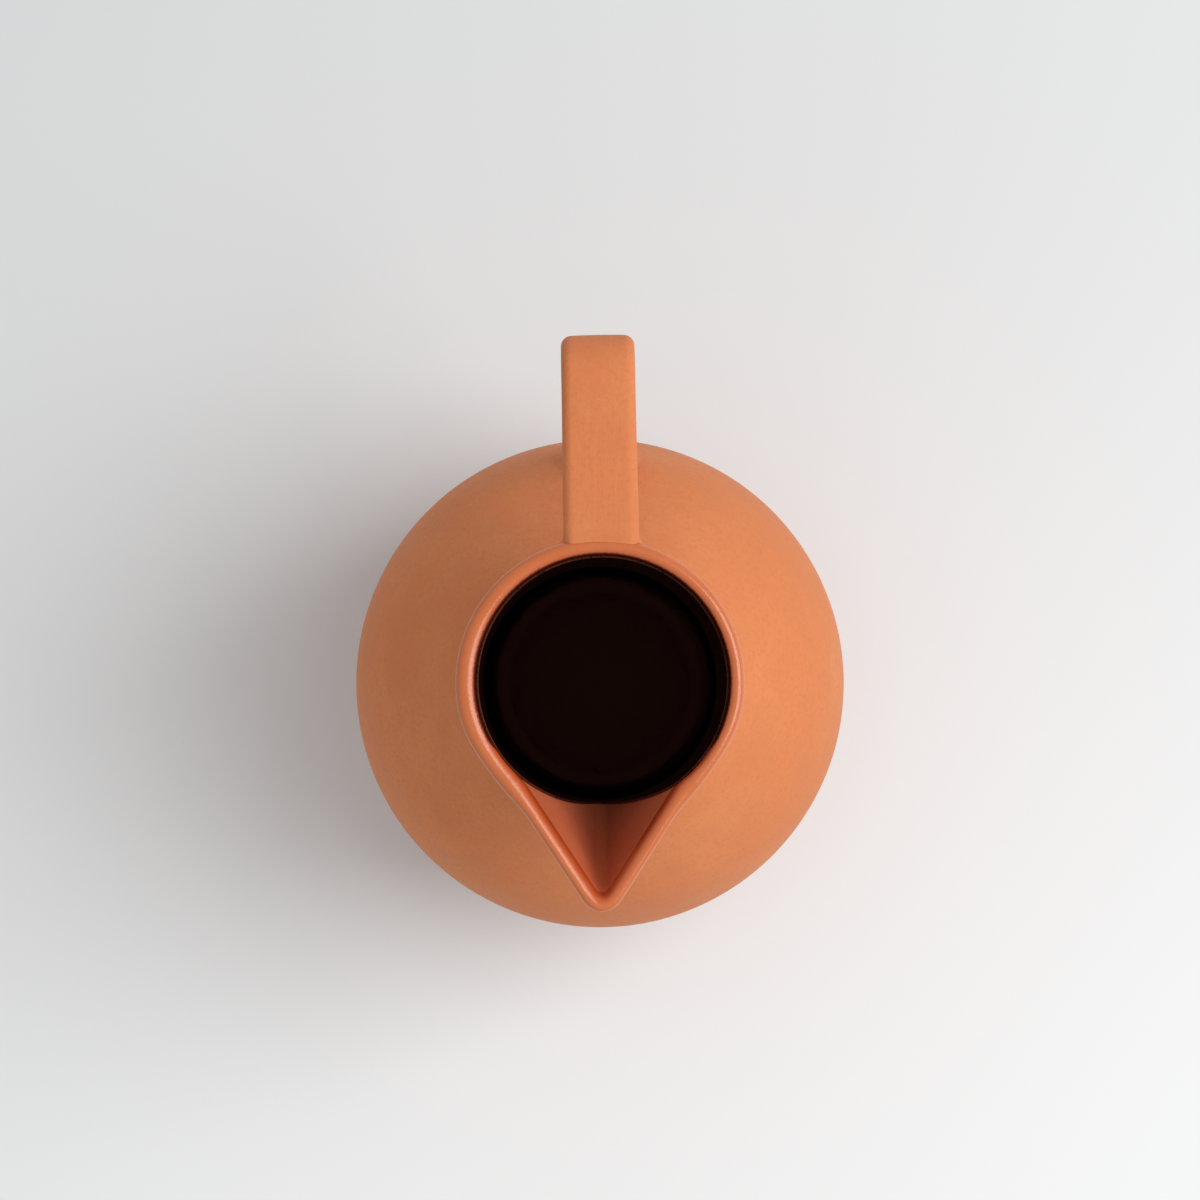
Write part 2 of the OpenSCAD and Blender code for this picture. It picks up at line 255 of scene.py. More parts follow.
def hollow_low(f, inset, high):
    """Inner wall from the floor up to a height at or below the widest line."""
    cove = arc((f.floor_r, f.cove_z), f.cove_r - inset, -math.pi / 2, f.cove_angle)
    wall = arc((f.bowl_cr, f.belly_z), f.bowl_arc_r - f.body_wall - inset,
               f.cove_angle + math.radians(ARC_STEP), bowl_angle(f, high, f.body_wall + inset))
    return cove + wall


def hollow_high(f, inset):
    return shoulder_curve(f, f.body_wall + inset, f.neck_in_r - inset)


def body_radius(f, z):
    """Outer radius of the body at a height between the foot and the neck."""
    if z <= f.belly_z:
        return f.bowl_cr + math.sqrt(max(0.0, f.bowl_arc_r**2 - (z - f.belly_z)**2))
    tangent_z = f.belly_z + f.belly_curve_r * math.sin(f.shoulder_angle)
    if z <= tangent_z:
        return f.shoulder_cr + math.sqrt(f.belly_curve_r**2 - (z - f.belly_z)**2)
    turn = f.shoulder_angle
    line = f.shoulder_cr * math.cos(turn) + f.belly_z * math.sin(turn) + f.belly_curve_r
    return max(f.neck_r, (line - z * math.sin(turn)) / math.cos(turn))


def neck_surface_radius(f, z):
    """Outer radius of the neck and of the lip's rounded edge at a height."""
    half = f.neck_wall / 2
    sunk = max(0.0, min(1.0, (z - (f.top - f.lip_round)) / f.lip_round))
    return f.neck_r - half + half * math.sqrt(1 - sunk**2)


# ---------------------------------------------------------------- neck and spout outline


def ease(value):
    """Smooth step from 0 to 1."""
    t = np.clip(value, 0.0, 1.0)
    return t * t * (3 - 2 * t)


def soft_max(a, b, softness):
    near = np.maximum(softness - np.abs(a - b), 0.0) / softness
    return np.maximum(a, b) + near * near * softness / 4


def fold_radius(f, z, turn, inset):
    """Radius of the spout's folded sides in a level cut, for an angle from its centre line."""
    tip = f.spout_reach - (f.top - z) * f.spout_lean
    centre = tip - f.spout_fold_r
    half = f.spout_half_angle
    fold = f.spout_fold_r - inset
    across = centre * math.sin(half) + fold
    turn = np.abs(turn)
    flat = across / np.cos(np.maximum(math.pi / 2 - half - turn, 0.0))
    reach = np.maximum(fold**2 - (centre * np.sin(turn))**2, 0.0)
    rounded = centre * np.cos(turn) + np.sqrt(reach)
    touch = np.arctan2(fold * math.cos(half), centre + fold * math.sin(half))
    return np.where(turn < touch, rounded, flat)


def spout_edge(f, z):
    """Angle at which the spout's side meets the neck, or 0 below the spout."""
    if z <= f.spout_root:
        return 0.0
    tip = f.spout_reach - (f.top - z) * f.spout_lean
    centre = tip - f.spout_fold_r
    cosine = min(1.0, (centre**2 + f.neck_r**2 - f.spout_fold_r**2) / (2 * centre * f.neck_r))
    # Low down, the neck meets the rounded fold and not yet the flat sides
    if f.neck_r * cosine - centre > f.spout_fold_r * math.sin(f.spout_half_angle):
        return math.acos(cosine)
    across = centre * math.sin(f.spout_half_angle) + f.spout_fold_r
    return math.pi / 2 - f.spout_half_angle - math.acos(min(1.0, across / f.neck_r))


# Height over which the mouth drifts off the axis
MOUTH_RUN = 0.05
# Angle beside the spout where the neck is drawn in most, and how wide that is
PINCH_AT = math.radians(54)
PINCH_WIDE = math.radians(15)


def outer_radius(f, z, turn):
    rise = ease((z - f.spout_root) / (f.top - f.spout_root))
    side = np.minimum(np.abs(turn), 2 * math.pi - np.abs(turn))
    pinch = f.spout_pinch * rise * np.exp(-((side - PINCH_AT) / PINCH_WIDE)**2)
    fold = np.where(side < math.pi / 2, fold_radius(f, z, side, 0.0), 0.0)
    return soft_max(f.neck_r - pinch, fold, f.spout_blend)


def mouth_circle(f, z, turn):
    """Inner radius of the neck, whose mouth sits a little off the axis."""
    rise = ease((z - f.top + MOUTH_RUN) / MOUTH_RUN)
    return f.neck_in_r + rise * (f.mouth_shift_x * np.sin(turn) - f.mouth_shift_y * np.cos(turn))


def inner_radius(f, z, turn):
    side = np.minimum(np.abs(turn), 2 * math.pi - np.abs(turn))
    fold = np.where(side < math.pi / 2, fold_radius(f, z, side, f.spout_wall), 0.0)
    return soft_max(mouth_circle(f, z, turn), fold, f.spout_blend / 4)


def place(f, radius, turn, z):
    """Points at a radius, at angles from the spout's centre line, at a height."""
    turn = np.asarray(turn) - f.spout_turn
    z = np.broadcast_to(z, turn.shape)
    return np.stack([radius * np.sin(turn), -radius * np.cos(turn), z], axis=-1)


# Height below the spout's root over which the slip beside the spout fades out
JOINT_FADE = 0.004
# Spacing of the levels up the neck, and the faces across each strip of wall
LEVEL_STEP = 0.0013
SPOUT_COLUMNS = 60
JOINT_COLUMNS = 4
NECK_COLUMNS = 288


def joint_span(f, z):
    """Inner and outer edge of the slip beside the spout, as angles."""
    edge = spout_edge(f, z)
    fade = float(ease((z - f.spout_root + JOINT_FADE) / JOINT_FADE))
    return max(0.0, edge - f.joint_half_angle), edge + f.joint_half_angle * fade


def neck_levels(f):
    count = math.ceil((f.lip_low - f.neck_low) / LEVEL_STEP)
    return list(np.linspace(f.neck_low, f.lip_low, count + 1))


def skin_slope(f, points, radius_of):
    """How far points stand off a skin of the neck and spout, and the skin's outward direction."""
    def gap(at):
        turn = np.arctan2(at[:, 0], -at[:, 1]) + f.spout_turn
        return np.hypot(at[:, 0], at[:, 1]) - radius_of(f, at[:, 2], turn)

    slope = np.zeros_like(points)
    for axis in range(3):
        shift = np.zeros(3)
        shift[axis] = SLOPE_STEP
        slope[:, axis] = gap(points + shift) - gap(points - shift)
    slope /= np.linalg.norm(slope, axis=1)[:, None]
    return np.abs(gap(points)), slope


def shade_skins(f, mesh):
    """Shades the neck's and spout's pieces by the skins that they share, so no seam shows."""
    points = np.array([v.co for v in mesh.vertices], float)
    outer_gap, outer = skin_slope(f, points, outer_radius)
    inner_gap, inner = skin_slope(f, points, inner_radius)
    on_outer, on_inner = outer_gap < 2 * WELD, inner_gap < 2 * WELD
    corners = mesh.corner_normals
    normals = []
    for face in mesh.polygons:
        flat = np.array(face.normal)
        for corner in face.loop_indices:
            vertex = mesh.loops[corner].vertex_index
            normal = np.array(corners[corner].vector)
            if on_outer[vertex] and outer[vertex] @ flat > math.cos(SHARP_ANGLE):
                normal = outer[vertex]
            elif on_inner[vertex] and -inner[vertex] @ flat > math.cos(SHARP_ANGLE):
                normal = -inner[vertex]
            normals.append(tuple(normal))
    mesh.normals_split_custom_set(normals)


def wall_strip(f, levels, start, end, columns):
    """Points and faces of a standing strip of wall, and which points lie on its inner skin.

    start and end give the strip's angle at a level and whether it has a side face there.
    """
    points, faces, inside = [], [], []
    width = columns + 1
    for z in levels:
        turn = np.linspace(start(z)[0], end(z)[0], width)
        points.append(place(f, outer_radius(f, z, turn), turn, z))
        points.append(place(f, inner_radius(f, z, turn), turn, z))
        inside += [0.0] * width + [1.0] * width
    for k in range(len(levels) - 1):
        here = 2 * k * width
        above = here + 2 * width
        for j in range(columns):
            faces.append((here + j, here + j + 1, above + j + 1, above + j))
            low, high = here + width + j, above + width + j
            faces.append((low + 1, low, high, high + 1))
        z_low, z_high = levels[k], levels[k + 1]
        if start(z_low)[1] or start(z_high)[1]:
            faces.append((here + width, here, above, above + width))
        if end(z_low)[1] or end(z_high)[1]:
            last = columns
            faces.append((here + last, here + width + last, above + width + last, above + last))
    top = 2 * (len(levels) - 1) * width
    for j in range(columns):
        faces.append((j + 1, j, width + j, width + j + 1))
        faces.append((top + j, top + j + 1, top + width + j + 1, top + width + j))
    return np.concatenate(points), faces, inside


# ---------------------------------------------------------------- mesh helpers


def finish_mesh(mesh):
    """Welds, turns the faces outwards and marks the sharp edges."""
    work = bmesh.new()
    work.from_mesh(mesh)
    bmesh.ops.remove_doubles(work, verts=work.verts, dist=WELD)
    bmesh.ops.dissolve_degenerate(work, edges=work.edges, dist=WELD / 2)
    bmesh.ops.recalc_face_normals(work, faces=work.faces)
    for face in work.faces:
        face.smooth = True
    for edge in work.edges:
        edge.smooth = edge.calc_face_angle(0.0) < SHARP_ANGLE
    work.to_mesh(mesh)
    work.free()
    mesh.update()


def add_piece(name, mesh, material, nodes):
    """Puts a finished mesh in the scene in place of its CAD nodes."""
    piece = bpy.data.objects.new(name, mesh)
    bpy.context.scene.collection.objects.link(piece)
    mesh.materials.clear()
    mesh.materials.append(material)
    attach(piece, BODY)
    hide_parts(*nodes)
    return piece


def mesh_from(name, points, faces, **values):
    """Finished mesh with a named value at each point for every extra argument."""
    mesh = bpy.data.meshes.new(name)
    mesh.from_pydata([tuple(float(c) for c in p) for p in points], [], faces)
    for key, value in values.items():
        layer = mesh.attributes.new(key, "FLOAT", "POINT")
        layer.data.foreach_set("value", np.asarray(value, np.float32))
    finish_mesh(mesh)
    return mesh


def band(rows):
    """Points and faces of a band whose rows are closed sections, joined last to first."""
    size = len(rows[0])
    count = len(rows)
    faces = []
    for k in range(count):
        here, there = k * size, (k + 1) % count * size
        for i in range(size):
            j = (i + 1) % size
            faces.append((here + i, here + j, there + j, there + i))
    return np.concatenate([np.asarray(row) for row in rows]), faces


def capped(rows):
    """Points and faces of a run of closed sections with a face across each end."""
    points, faces = band(rows)
    size = len(rows[0])
    faces = faces[:-size]
    faces.append(tuple(reversed(range(size))))
    faces.append(tuple(range(len(points) - size, len(points))))
    return points, faces


# ---------------------------------------------------------------- node helpers


def feed(tree, socket, value):
    """Feeds a socket from another socket, or sets it to a value. A colour needs no alpha."""
    if isinstance(value, bpy.types.NodeSocket):
        tree.links.new(value, socket)
    elif socket.type == "RGBA" and len(value) == 3:
        socket.default_value = (*value, 1.0)
    else:
        socket.default_value = value


def add_node(tree, kind, feeds=(), **settings):
    """New node with its settings. feeds are pairs of an input's name or number and its value."""
    node = tree.nodes.new(kind)
    for key, value in settings.items():
        setattr(node, key, value)
    for key, value in feeds:
        feed(tree, node.inputs[key], value)
    return node


def math_node(tree, operation, *values):
    return add_node(tree, "ShaderNodeMath", enumerate(values), operation=operation).outputs[0]


def vector_node(tree, operation, *feeds):
    return add_node(tree, "ShaderNodeVectorMath", feeds, operation=operation).outputs[0]


def noise_node(tree, vector, scale, detail=3.0, roughness=0.5):
    return add_node(tree, "ShaderNodeTexNoise",
                    (("Vector", vector), ("Scale", scale), ("Detail", detail),
                     ("Roughness", roughness))).outputs[0]


def ramp_node(tree, value, low, high):
    """Value drawn out so that low becomes 0 and high becomes 1."""
    return add_node(tree, "ShaderNodeMapRange",
                    (("Value", value), ("From Min", low), ("From Max", high)),
                    interpolation_type="SMOOTHSTEP").outputs["Result"]


def rough_node(tree, value, low, high):
    """Roughness from low, where the value is 0, to high, where it is 1."""
    return add_node(tree, "ShaderNodeMapRange",
                    (("Value", value), ("To Min", low), ("To Max", high))).outputs["Result"]


def bump_node(tree, height, depth):
    return add_node(tree, "ShaderNodeBump",
                    (("Height", height), ("Distance", depth), ("Strength", 1.0))).outputs["Normal"]


def attribute_node(tree, name):
    """A piece's own value at each point."""
    return add_node(tree, "ShaderNodeAttribute", attribute_name=name).outputs["Fac"]


def mix_colour(tree, factor, first, second, blend="MIX"):
    """Mix of two colours. The colour mix's own inputs are numbers 0, 6 and 7."""
    return add_node(tree, "ShaderNodeMix", data_type="RGBA", blend_type=blend,
                    feeds=((0, factor), (6, first), (7, second))).outputs[2]


def open_tree(name, kind, inputs, outputs):
    """New node tree with named sockets, its given values and its result node."""
    tree = bpy.data.node_groups.new(name, kind)
    for in_out, sockets in (("INPUT", inputs), ("OUTPUT", outputs)):
        for label, socket_kind in sockets:
            tree.interface.new_socket(label, in_out=in_out, socket_type="NodeSocket" + socket_kind)
    given = tree.nodes.new("NodeGroupInput").outputs
    return tree, given, tree.nodes.new("NodeGroupOutput")


# ---------------------------------------------------------------- turning tree


# Height over which the wobble fades out below its top
WOBBLE_FADE = 0.03
# How far a turned wall wanders from true, and the size of its waves
WOBBLE = 0.00012
WOBBLE_SCALE = 22.0


def turning_tree():
    """Geometry nodes that turn a closed profile round the Z axis, as on a wheel."""
    name = "turn_on_wheel"
    if name in bpy.data.node_groups:
        return bpy.data.node_groups[name]
    tree, given, result = open_tree(
        name, "GeometryNodeTree",
        (("Profile", "Geometry"), ("Segments", "Int"), ("Wobble", "Float"),
         ("Wobble scale", "Float"), ("Wobble top", "Float"), ("Material", "Material")),
        (("Wall", "Geometry"),))

    # A flat grid with a row for each point of the profile and a column for each turn
    profile_count = add_node(tree, "GeometryNodeAttributeDomainSize",
                             (("Geometry", given["Profile"]),),
                             component="MESH").outputs["Point Count"]
    rows = math_node(tree, "ADD", profile_count, 1)
    columns = math_node(tree, "ADD", given["Segments"], 1)
    grid = add_node(tree, "GeometryNodeMeshGrid", (("Vertices X", rows), ("Vertices Y", columns)))
    index = add_node(tree, "GeometryNodeInputIndex").outputs[0]
    row = math_node(tree, "FLOOR", math_node(tree, "DIVIDE", math_node(tree, "ADD", index, 0.5),
                                             columns))
    column = math_node(tree, "SUBTRACT", index, math_node(tree, "MULTIPLY", row, columns))
    wrapped = math_node(tree, "FLOORED_MODULO", row, profile_count)
    turn = math_node(tree, "MULTIPLY", math_node(tree, "DIVIDE", column, given["Segments"]),
                     2 * math.pi)

    # Each point of the grid goes to its point of the profile, turned about the axis
    position = add_node(tree, "GeometryNodeInputPosition").outputs[0]
    sample = add_node(tree, "GeometryNodeSampleIndex", data_type="FLOAT_VECTOR", domain="POINT")
    for key, value in (("Geometry", given["Profile"]), ("Value", position), ("Index", wrapped)):
        feed(tree, sample.inputs[key], value)
    spun = add_node(tree, "ShaderNodeVectorRotate",
                    rotation_type="Z_AXIS",
                    feeds=(("Vector", sample.outputs[0]), ("Angle", turn))).outputs[0]

    # The wall wanders a little inwards, less and less towards the top
    noise = noise_node(tree, spun, given["Wobble scale"], 1.0)
    height = add_node(tree, "ShaderNodeSeparateXYZ", ((0, spun),)).outputs["Z"]
    room = math_node(tree, "SUBTRACT", given["Wobble top"], height)
    fade = math_node(tree, "MINIMUM", math_node(tree, "MAXIMUM",
                                                math_node(tree, "DIVIDE", room, WOBBLE_FADE), 0.0),
                     1.0)
    swing = math_node(tree, "MULTIPLY", math_node(tree, "SUBTRACT", noise, 1.0),
                      math_node(tree, "MULTIPLY", given["Wobble"], fade))
    flat = vector_node(tree, "MULTIPLY", (0, spun), (1, (1.0, 1.0, 0.0)))
    push = vector_node(tree, "SCALE", (0, vector_node(tree, "NORMALIZE", (0, flat))),
                       ("Scale", swing))
    moved = vector_node(tree, "ADD", (0, spun), (1, push))
    wall = add_node(tree, "GeometryNodeSetPosition",
                    (("Geometry", grid.outputs["Mesh"]), ("Position", moved))).outputs[0]
    wall = add_node(tree, "GeometryNodeMergeByDistance",
                    (("Geometry", wall), ("Distance", WELD))).outputs[0]
    wall = add_node(tree, "GeometryNodeRealizeInstances", ((0, wall),)).outputs[0]
    wall = add_node(tree, "GeometryNodeSetMaterial",
                    (("Geometry", wall), ("Material", given["Material"]))).outputs[0]
    feed(tree, result.inputs[0], wall)
    return tree


def turned_mesh(name, profile, material, f):
    """Mesh of a closed profile in radius and height, turned by the tree and made plain."""
    mesh = bpy.data.meshes.new(name + "_profile")
    mesh.from_pydata([(r, 0.0, z) for r, z in profile],
                     [(i, (i + 1) % len(profile)) for i in range(len(profile))], [])
    blank = bpy.data.objects.new(name + "_profile", mesh)
    bpy.context.scene.collection.objects.link(blank)
    modifier = blank.modifiers.new("turning", "NODES")
    modifier.node_group = turning_tree()
    values = {"Segments": f.segments, "Wobble": WOBBLE, "Wobble scale": WOBBLE_SCALE,
              "Wobble top": f.neck_z - WOBBLE_FADE / 2, "Material": material}
    for item in modifier.node_group.interface.items_tree:
        if item.item_type == "SOCKET" and item.in_out == "INPUT" and item.name in values:
            modifier[item.identifier] = values[item.name]
    depsgraph = bpy.context.evaluated_depsgraph_get()
    wall = bpy.data.meshes.new_from_object(blank.evaluated_get(depsgraph), depsgraph=depsgraph)
    wall.name = name
    blank.modifiers.clear()
    bpy.data.objects.remove(blank)
    bpy.data.meshes.remove(mesh)
    finish_mesh(wall)
    return wall


# ---------------------------------------------------------------- materials


# How fine the clay's marks are, in waves per metre: clouds, patches, specks and rubbed streaks in
# its colour, then grain, pits and fettling marks in its surface
CLOUD_SCALE = 26.0
PATCH_SCALE = 75.0
SPECK_SCALE = 620.0
STREAK_SCALE = 60.0
GRAIN_SCALE = 1300.0
PIT_SCALE = 420.0
MARK_SCALE = 110.0
# How much the patches darken the clay, and how much the pits add to its grain
PATCH_DEPTH = 0.55
PIT_DEPTH = 0.5


def clay_colour_group():
    """Cloudy fired clay: large clouds, small mottling, fine specks and hand-rubbed streaks."""
    name = "fired_clay_colour"
    if name in bpy.data.node_groups:
        return bpy.data.node_groups[name]
    group, at, result = open_tree(
        name, "ShaderNodeTree",
        (("Vector", "Vector"), ("Streak vector", "Vector"), ("Clay", "Color"), ("Pale", "Color"),
         ("Deep", "Color"), ("Cloud", "Float"), ("Streak", "Float"), ("Speck", "Float")),
        (("Color", "Color"), ("Mask", "Float")))
    clouds = ramp_node(group, noise_node(group, at["Vector"], CLOUD_SCALE, 3.0, 0.55), 0.40, 0.68)
    patches = ramp_node(group, noise_node(group, at["Vector"], PATCH_SCALE, 4.0, 0.6), 0.42, 0.70)
    specks = ramp_node(group, noise_node(group, at["Vector"], SPECK_SCALE, 3.0, 0.7), 0.45, 0.70)
    streaks = ramp_node(group, noise_node(group, at["Streak vector"], STREAK_SCALE, 4.0, 0.6),
                        0.35, 0.7)
    cloudy = math_node(group, "MULTIPLY", clouds, at["Cloud"])
    painted = mix_colour(group, cloudy, at["Clay"], at["Pale"])
    patchy = math_node(group, "MULTIPLY", patches, at["Cloud"])
    for marks, strength in ((patchy, PATCH_DEPTH), (streaks, at["Streak"]),
                            (specks, at["Speck"])):
        painted = mix_colour(group, math_node(group, "MULTIPLY", marks, strength), painted,
                             at["Deep"])
    feed(group, result.inputs["Color"], painted)
    feed(group, result.inputs["Mask"], patches)
    return group


def clay_grain_group():
    """Height of the clay's skin: fine grain over soft fettling marks."""
    name = "fired_clay_grain"
    if name in bpy.data.node_groups:
        return bpy.data.node_groups[name]
    group, at, result = open_tree(
        name, "ShaderNodeTree",
        (("Vector", "Vector"), ("Streak vector", "Vector"), ("Grain", "Float"),
         ("Streak", "Float")), (("Height", "Float"),))
    fine = math_node(group, "MULTIPLY", noise_node(group, at["Vector"], GRAIN_SCALE, 2.0, 0.6),
                     at["Grain"])
    coarse = math_node(group, "MULTIPLY", noise_node(group, at["Vector"], PIT_SCALE, 3.0, 0.5),
                       PIT_DEPTH)
    marks = math_node(group, "MULTIPLY",
                      noise_node(group, at["Streak vector"], MARK_SCALE, 3.0, 0.5), at["Streak"])
    height = math_node(group, "ADD", math_node(group, "ADD", fine, coarse), marks)
    feed(group, result.inputs["Height"], height)
    return group


def new_material(name):
    """New material, its tree, its shader and the piece's own coordinates."""
    material = bpy.data.materials.new(name)
    material.use_nodes = True
    tree = material.node_tree
    return (material, tree, tree.nodes["Principled BSDF"].inputs,
            add_node(tree, "ShaderNodeTexCoord").outputs["Object"])


# Painted shade: darker, redder tint of the clay inside the neck and spout, standing in for the
# shade and red bounce light in the hollow
INNER_SHADE_TINT = (0.87, 0.54, 0.46)
# Glaze that laps onto the lip: where across the lip it starts, how fine its specks are, how much
# they break its edge, over what part of the lip it closes up, and how thin it is
LAP_START = 0.62
LAP_SPECKS = 1100.0
LAP_BREAK = 0.8
LAP_RAMP = (0.85, 1.15)
LAP_THIN = 4
# Faint velvet of the dry clay
SHEEN_ROUGHNESS = 0.5
SHEEN_TINT = (1.0, 0.86, 0.74)


def clay_material(name, streak_scale, streak, cloud, speck=0.25, rough=(0.62, 0.78),
                  bump=0.00018, tint=(1.0, 1.0, 1.0), gloss=0.18, sheen=0.07):
    """Fired clay.

    streak_scale stretches the rubbed marks along the piece. streak, cloud and speck are how
    strong its marks are, rough its least and greatest roughness, and bump its grain's depth.
    """
    if name in bpy.data.materials:
        return bpy.data.materials[name]
    colours = bpy.context.scene.jug_colours
    material, tree, shader, coords = new_material(name)
    along = add_node(tree, "ShaderNodeMapping",
                     (("Vector", coords), ("Scale", streak_scale))).outputs[0]
    clay, pale, deep = [tuple(c * t for c, t in zip(shade, tint))
                        for shade in (colours.clay, colours.clay_pale, colours.clay_deep)]
    places = (("Vector", coords), ("Streak vector", along))
    paint = add_node(tree, "ShaderNodeGroup", node_tree=clay_colour_group(), feeds=(
        *places, ("Clay", clay), ("Pale", pale), ("Deep", deep), ("Cloud", cloud),
        ("Streak", streak), ("Speck", speck)))
    grain = add_node(tree, "ShaderNodeGroup", node_tree=clay_grain_group(), feeds=(
        *places, ("Grain", colours.grain), ("Streak", streak * 2)))
    # Painted shade: the clay's inner skin is multiplied by the darker, redder inner tint
    inner_shaded = mix_colour(tree, attribute_node(tree, "inner_skin"), paint.outputs["Color"],
                      INNER_SHADE_TINT, "MULTIPLY")
    # The glaze's upper edge laps in specks onto the lip's inner side
    specks = noise_node(tree, coords, LAP_SPECKS, 3.0, 0.65)
    inward = ramp_node(tree, attribute_node(tree, "lip_share"), LAP_START, 1.0)
    lapped = ramp_node(tree, math_node(tree, "ADD", inward, math_node(
        tree, "MULTIPLY", specks, LAP_BREAK)), *LAP_RAMP)
    edged = mix_colour(tree, math_node(tree, "MULTIPLY", lapped, inward), inner_shaded,
                       tuple(c * LAP_THIN for c in colours.glaze))
    for key, value in (
            ("Base Color", edged),
            ("Roughness", rough_node(tree, paint.outputs["Mask"], rough[1], rough[0])),
            ("Normal", bump_node(tree, grain.outputs["Height"], bump)),
            ("Specular IOR Level", gloss), ("Sheen Weight", sheen),
            ("Sheen Roughness", SHEEN_ROUGHNESS), ("Sheen Tint", SHEEN_TINT)):
        feed(tree, shader[key], value)
    return material


def turned_clay():
    return clay_material("turned_clay", (1.0, 1.0, 4.0), streak=0.12, cloud=0.55, speck=0.55)


def strap_clay():
    return clay_material("strap_clay", (9.0, 1.0, 1.0), streak=0.22, cloud=0.6, speck=0.55,
                         tint=(0.97, 0.95, 0.98))


def lip_clay():
    return clay_material("rubbed_lip_clay", (1.0, 1.0, 1.0), streak=0.2, cloud=0.5,
                         rough=(0.12, 0.24), bump=0.00010, tint=(0.86, 0.67, 0.54), gloss=0.5,
                         sheen=0.0)


# Depth below the glaze's edge over which it thins out to bare clay
BREAK_DEPTH = 0.0012
# Browner veins in the glaze, how strong they are, and the red of its shine
GLAZE_VEIN = (0.012, 0.0024, 0.0018)
VEIN_STRENGTH = 0.6
GLAZE_GLOSS = 0.16
GLAZE_SHINE = (1.0, 0.30, 0.22)
# How fine the glaze's specks, runs, veins and waves are, in waves per metre
BREAK_SCALE = 1400.0
RUN_SCALE = 60.0
VEIN_SCALE = 90.0
WAVE_SCALE = 160.0
# How much the runs move the edge, and the depth of the glaze's waves
RUN_STRENGTH = 0.35
WAVE_DEPTH = 0.00010
# Roughness of the whole glaze and of its broken edge
GLAZE_ROUGH = (0.16, 0.55)


def glaze_material():
    """Near-black glossy glaze that breaks to rusty specks at its upper edge."""
    name = "black_gloss_glaze"
    if name in bpy.data.materials:
        return bpy.data.materials[name]
    colours = bpy.context.scene.jug_colours
    material, tree, shader, coords = new_material(name)
    near = ramp_node(tree, attribute_node(tree, "glaze_depth"), BREAK_DEPTH, 0.0)
    breaks = noise_node(tree, coords, BREAK_SCALE, 3.0, 0.65)
    runs = noise_node(tree, coords, RUN_SCALE, 2.0, 0.5)
    level = math_node(tree, "ADD", near, math_node(tree, "MULTIPLY", runs, RUN_STRENGTH))
    thin = ramp_node(tree, math_node(tree, "ADD", level, breaks), 1.45, 1.75)
    veins = ramp_node(tree, noise_node(tree, coords, VEIN_SCALE, 4.0, 0.6), 0.35, 0.75)
    deep = mix_colour(tree, math_node(tree, "MULTIPLY", veins, VEIN_STRENGTH),
                      tuple(colours.glaze), GLAZE_VEIN)
    waves = noise_node(tree, coords, WAVE_SCALE, 2.0, 0.5)
    for key, value in (
            ("Base Color", mix_colour(tree, thin, deep, tuple(colours.glaze_break))),
            ("Roughness", rough_node(tree, thin, *GLAZE_ROUGH)),
            ("Normal", bump_node(tree, waves, WAVE_DEPTH)),
            ("Specular IOR Level", GLAZE_GLOSS), ("Specular Tint", GLAZE_SHINE)):
        feed(tree, shader[key], value)
    return material


# Distance before and behind the jug over which the floor's painted light falloff changes
STAGE_FADE = 0.25
# Change of the floor's painted light falloff from its middle to either end
STAGE_DROP = 0.09


def stage_material():
    """Matt pale floor with a painted light falloff: a little darker towards the handle."""
    name = "pale_stage"
    if name in bpy.data.materials:
        return bpy.data.materials[name]
    base = tuple(bpy.context.scene.jug_colours.stage)
    material, tree, shader, coords = new_material(name)
    back = add_node(tree, "ShaderNodeSeparateXYZ", ((0, coords),)).outputs["Y"]
    # Painted light falloff: lighter towards the spout, darker towards the handle
    shade = mix_colour(tree, ramp_node(tree, back, -STAGE_FADE, STAGE_FADE),
                       tuple(c * (1 + STAGE_DROP) for c in base),
                       tuple(c * (1 - STAGE_DROP) for c in base))
    for key, value in (("Base Color", shade), ("Roughness", 0.9), ("Specular IOR Level", 0.1)):
        feed(tree, shader[key], value)
    return material


# ---------------------------------------------------------------- turned pieces


def foot_profile(f):
    """Ring with rounded edges below and a soft upper corner."""
    inner = f.foot_r - f.foot_w
    edge = f.foot_edge_r
    return (arc((f.foot_r - edge, edge), edge, -math.pi / 2, 0)
            + [(f.foot_r, f.foot_h), (inner, f.foot_h)]
            + arc((inner + edge, edge), edge, math.pi, 1.5 * math.pi))


def floor_profile(f):
    """Flat disc inside the foot ring."""
    return [(0.0, f.recess), (f.floor_r * 0.5, f.recess), (f.floor_r, f.recess),
            (f.floor_r, f.floor_z), (f.floor_r * 0.5, f.floor_z), (0.0, f.floor_z)]


def groove_point(f, z):
    return (f.belly_r - f.body_wall / 2, z - f.groove_h)


def bowl_profile(f):
    low = f.seam_low
    inner = f.foot_r - f.foot_w
    return ([(f.floor_r, f.recess), (inner, f.recess), (inner, f.foot_h)]
            + bowl_curve(f, 0.0, f.foot_h, low) + [groove_point(f, low)]
            + hollow_low(f, 0.0, low)[::-1])


def belly_joint_profile(f):
    low, high = f.seam_low, f.seam_z
    return (bowl_curve(f, 0.0, low, high) + [groove_point(f, high)]
            + bowl_curve(f, f.body_wall, low, high)[::-1] + [groove_point(f, low)])


def shoulder_profile(f):
    return (bowl_curve(f, 0.0, f.seam_z, f.belly_z) + shoulder_curve(f, 0.0, f.neck_r)
            + [(f.neck_in_r, f.neck_z)] + hollow_high(f, 0.0)[::-1]
            + bowl_curve(f, f.body_wall, f.seam_z, f.belly_z)[::-1] + [groove_point(f, f.seam_z)])


